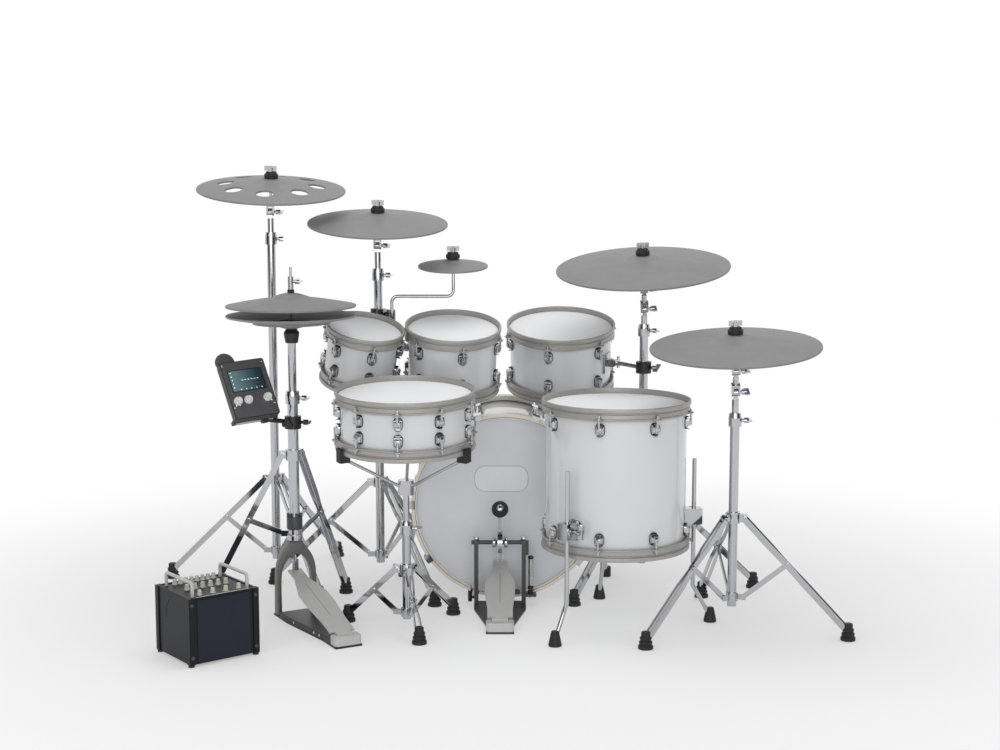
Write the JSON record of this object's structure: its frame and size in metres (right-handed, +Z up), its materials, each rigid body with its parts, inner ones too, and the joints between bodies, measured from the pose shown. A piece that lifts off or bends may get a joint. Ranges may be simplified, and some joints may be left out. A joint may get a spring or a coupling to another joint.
{
  "type": "electronic drum kit",
  "caption": "Electronic drum kit: white-shelled drums with mesh heads, grey pad cymbals on chrome stands, pedals, sound module and small amplifier box.",
  "frame": {"origin": "on the floor under the kick pedal's base plate", "axes": "+Z up; +Y from the player through the kick drum; +X to the player's right"},
  "size_m": [1.9648, 1.1993, 1.2483],
  "materials": {
    "white_shell": "gloss pearl",
    "grey_hoop": "satin",
    "mesh_head": "woven mesh",
    "kick_head": "matt",
    "chrome": "polished",
    "cymbal_rubber": "matt, fine rings",
    "black_rubber": "matt",
    "maple_hoop": "clear lacquer",
    "pedal_metal": "satin",
    "dark_beater": "matt",
    "module_plastic": "satin",
    "knob_metal": "turned",
    "box_paint": "satin"
  },
  "bodies": {
    "kit": {"stand_tripods": "chrome", "rubber_feet": "black_rubber", "kick_shell": "white_shell", "kick_hoops": "maple_hoop", "kick_heads": "kick_head", "kick_lugs": "chrome", "kick_pedal_frame": "pedal_metal", "hihat_stand": "chrome", "hihat_bottom": "cymbal_rubber", "floor_tom_legs": "chrome", "tom_holders": "chrome", "module_clamp": "module_plastic", "amplifier_box": "box_paint"},
    "kick_spur_left": {"kick_spur_left": "chrome"},
    "kick_spur_right": {"kick_spur_right": "chrome"},
    "kick_footboard": {"kick_footboard": "pedal_metal"},
    "kick_beater": {"kick_beater": "dark_beater"},
    "hihat_footboard": {"hihat_footboard": "pedal_metal"},
    "hihat_upper": {"hihat_rod": "chrome", "hihat_top": "cymbal_rubber"},
    "snare": {"snare_shell": "white_shell", "snare_hoops": "grey_hoop", "snare_heads": "mesh_head", "snare_lugs": "chrome", "snare_cradle": "chrome"},
    "floor_tom": {"floor_tom_shell": "white_shell", "floor_tom_hoops": "grey_hoop", "floor_tom_heads": "mesh_head", "floor_tom_lugs": "chrome"},
    "splash": {"splash": "cymbal_rubber"},
    "module": {"module_case": "module_plastic"},
    "tom1": {"tom1_shell": "white_shell", "tom1_hoops": "grey_hoop", "tom1_heads": "mesh_head", "tom1_lugs": "chrome"},
    "tom2": {"tom2_shell": "white_shell", "tom2_hoops": "grey_hoop", "tom2_heads": "mesh_head", "tom2_lugs": "chrome"},
    "tom3": {"tom3_shell": "white_shell", "tom3_hoops": "grey_hoop", "tom3_heads": "mesh_head", "tom3_lugs": "chrome"},
    "module_knob_1": {"module_knob_1": "knob_metal"},
    "module_knob_2": {"module_knob_2": "knob_metal"},
    "module_knob_3": {"module_knob_3": "knob_metal"},
    "crash_left_riser": {"crash_left_riser": "chrome"},
    "crash_left_stem": {"crash_left_stem": "chrome"},
    "crash_left": {"crash_left": "cymbal_rubber"},
    "crash_middle_riser": {"crash_middle_riser": "chrome"},
    "crash_middle_stem": {"crash_middle_stem": "chrome"},
    "crash_middle": {"crash_middle": "cymbal_rubber"},
    "ride_riser": {"ride_riser": "chrome"},
    "ride_arm": {"ride_arm": "chrome"},
    "ride_stem": {"ride_stem": "chrome"},
    "ride": {"ride": "cymbal_rubber"},
    "crash_right_riser": {"crash_right_riser": "chrome"},
    "crash_right_arm": {"crash_right_arm": "chrome"},
    "crash_right_stem": {"crash_right_stem": "chrome"},
    "crash_right": {"crash_right": "cymbal_rubber"}
  },
  "joints": [
    {"name": "crash_left_height", "type": "slide", "parent": "kit", "child": "crash_left_riser", "axis": [0, 0, 1], "range_m": [0, 0.12]},
    {"name": "crash_left_tilt", "type": "hinge", "parent": "crash_left_riser", "child": "crash_left_stem", "pos_m": [-0.68, 0.4, 1.112], "axis": [0.9992, 0, -0.0401], "range_deg": [-8, 8]},
    {"name": "crash_left_rock", "type": "hinge", "parent": "crash_left_stem", "child": "crash_left", "pos_m": [-0.67621, 0.38387, 1.20632], "axis": [0.0068, 0.9857, 0.1684], "range_deg": [-4, 4], "stiffness_Nm_per_rad": 20},
    {"name": "crash_middle_height", "type": "slide", "parent": "kit", "child": "crash_middle_riser", "axis": [0, 0, 1], "range_m": [-0.04, 0.01]},
    {"name": "crash_middle_tilt", "type": "hinge", "parent": "crash_middle_riser", "child": "crash_middle_stem", "pos_m": [-0.36, 0.35, 1.015], "axis": [0.9997, 0, -0.0227], "range_deg": [-8, 8]},
    {"name": "crash_middle_rock", "type": "hinge", "parent": "crash_middle_stem", "child": "crash_middle", "pos_m": [-0.35789, 0.33427, 1.10798], "axis": [0.0038, 0.986, 0.1667], "range_deg": [-4, 4], "stiffness_Nm_per_rad": 20},
    {"name": "ride_height", "type": "slide", "parent": "kit", "child": "ride_riser", "axis": [0, 0, 1], "range_m": [-0.02, 0.1]},
    {"name": "ride_arm_tilt", "type": "hinge", "parent": "ride_riser", "child": "ride_arm", "pos_m": [0.426, 0.343, 0.828], "axis": [0.9985, 0, 0.0541], "range_deg": [-8, 8]},
    {"name": "ride_tilt", "type": "hinge", "parent": "ride_arm", "child": "ride_stem", "pos_m": [0.42279, 0.32487, 0.8872], "axis": [0.9985, 0, 0.0541], "range_deg": [-8, 8]},
    {"name": "ride_rock", "type": "hinge", "parent": "ride_stem", "child": "ride", "pos_m": [0.41747, 0.30752, 0.98548], "axis": [-0.0094, 0.9848, 0.1734], "range_deg": [-4, 4], "stiffness_Nm_per_rad": 20},
    {"name": "crash_right_height", "type": "slide", "parent": "kit", "child": "crash_right_riser", "axis": [0, 0, 1], "range_m": [0, 0.1]},
    {"name": "crash_right_arm_tilt", "type": "hinge", "parent": "crash_right_riser", "child": "crash_right_arm", "pos_m": [0.632, -0.138, 0.65], "axis": [0.999, 0, 0.0454], "range_deg": [-8, 8]},
    {"name": "crash_right_tilt", "type": "hinge", "parent": "crash_right_arm", "child": "crash_right_stem", "pos_m": [0.62931, -0.15613, 0.70923], "axis": [0.999, 0, 0.0454], "range_deg": [-8, 8]},
    {"name": "crash_right_rock", "type": "hinge", "parent": "crash_right_stem", "child": "crash_right", "pos_m": [0.62493, -0.16746, 0.8056], "axis": [-0.0053, 0.9932, 0.1166], "range_deg": [-4, 4], "stiffness_Nm_per_rad": 20},
    {"name": "splash_rock", "type": "hinge", "parent": "kit", "child": "splash", "pos_m": [-0.137, 0.31965, 0.97403], "axis": [0, 0.9932, 0.1167], "range_deg": [-4, 4], "stiffness_Nm_per_rad": 6},
    {"name": "tom1_tilt", "type": "hinge", "parent": "kit", "child": "tom1", "pos_m": [-0.36648, 0.29138, 0.73784], "axis": [-0.9817, 0.1902, 0], "range_deg": [-6, 2]},
    {"name": "tom2_tilt", "type": "hinge", "parent": "kit", "child": "tom2", "pos_m": [-0.26974, 0.29277, 0.72082], "axis": [0.5072, 0.8618, 0], "range_deg": [-1.5, 3]},
    {"name": "tom3_tilt", "type": "hinge", "parent": "kit", "child": "tom3", "pos_m": [0.34206, 0.3917, 0.66121], "axis": [0.4728, 0.8812, 0], "range_deg": [-1.5, 4]},
    {"name": "snare_height", "type": "slide", "parent": "kit", "child": "snare", "axis": [0, 0, 1], "range_m": [-0.03, 0.03]},
    {"name": "floor_tom_height", "type": "slide", "parent": "kit", "child": "floor_tom", "axis": [0, 0, 1], "range_m": [-0.02, 0.04]},
    {"name": "kick_spur_left_fold", "type": "hinge", "parent": "kit", "child": "kick_spur_left", "pos_m": [-0.24115, 0.33, 0.1999], "axis": [0.9703, 0, -0.2419], "range_deg": [0, 15]},
    {"name": "kick_spur_right_fold", "type": "hinge", "parent": "kit", "child": "kick_spur_right", "pos_m": [0.26915, 0.33, 0.1999], "axis": [0.9703, 0, 0.2419], "range_deg": [0, 15]},
    {"name": "kick_footboard_press", "type": "hinge", "parent": "kit", "child": "kick_footboard", "pos_m": [0, -0.17, 0.024], "axis": [-1, 0, 0], "range_deg": [0, 4], "stiffness_Nm_per_rad": 20, "springref_deg": -5.73},
    {"name": "kick_beater_swing", "type": "hinge", "parent": "kit", "child": "kick_beater", "pos_m": [0, 0.095, 0.183], "axis": [-1, 0, 0], "range_deg": [0, 34.5]},
    {"name": "hihat_footboard_press", "type": "hinge", "parent": "kit", "child": "hihat_footboard", "pos_m": [-0.41072, -0.29823, 0.024], "axis": [-0.8771, -0.4802, 0], "range_deg": [0, 3.2], "stiffness_Nm_per_rad": 40, "springref_deg": -8.59},
    {"name": "hihat_close", "type": "slide", "parent": "kit", "child": "hihat_upper", "axis": [0, 0, -1], "range_m": [0, 0.0195]},
    {"name": "module_tilt", "type": "hinge", "parent": "kit", "child": "module", "pos_m": [-0.67259, -0.06769, 0.56089], "axis": [0.8539, 0.5161, 0.0668], "range_deg": [-10, 10]},
    {"name": "module_knob_1_turn", "type": "hinge", "parent": "module", "child": "module_knob_1", "pos_m": [-0.7092, -0.09987, 0.61883], "axis": [0.3987, -0.7313, 0.5534], "continuous": true},
    {"name": "module_knob_2_turn", "type": "hinge", "parent": "module", "child": "module_knob_2", "pos_m": [-0.68358, -0.08439, 0.62084], "axis": [0.3987, -0.7313, 0.5534], "continuous": true},
    {"name": "module_knob_3_turn", "type": "hinge", "parent": "module", "child": "module_knob_3", "pos_m": [-0.63576, -0.05548, 0.62458], "axis": [0.3987, -0.7313, 0.5534], "continuous": true}
  ],
  "couplings": [
    {"joint": "kick_beater_swing", "follows": "kick_footboard_press", "ratio": 8.5},
    {"joint": "hihat_close", "follows": "hihat_footboard_press", "m_per_rad": 0.34}
  ]
}
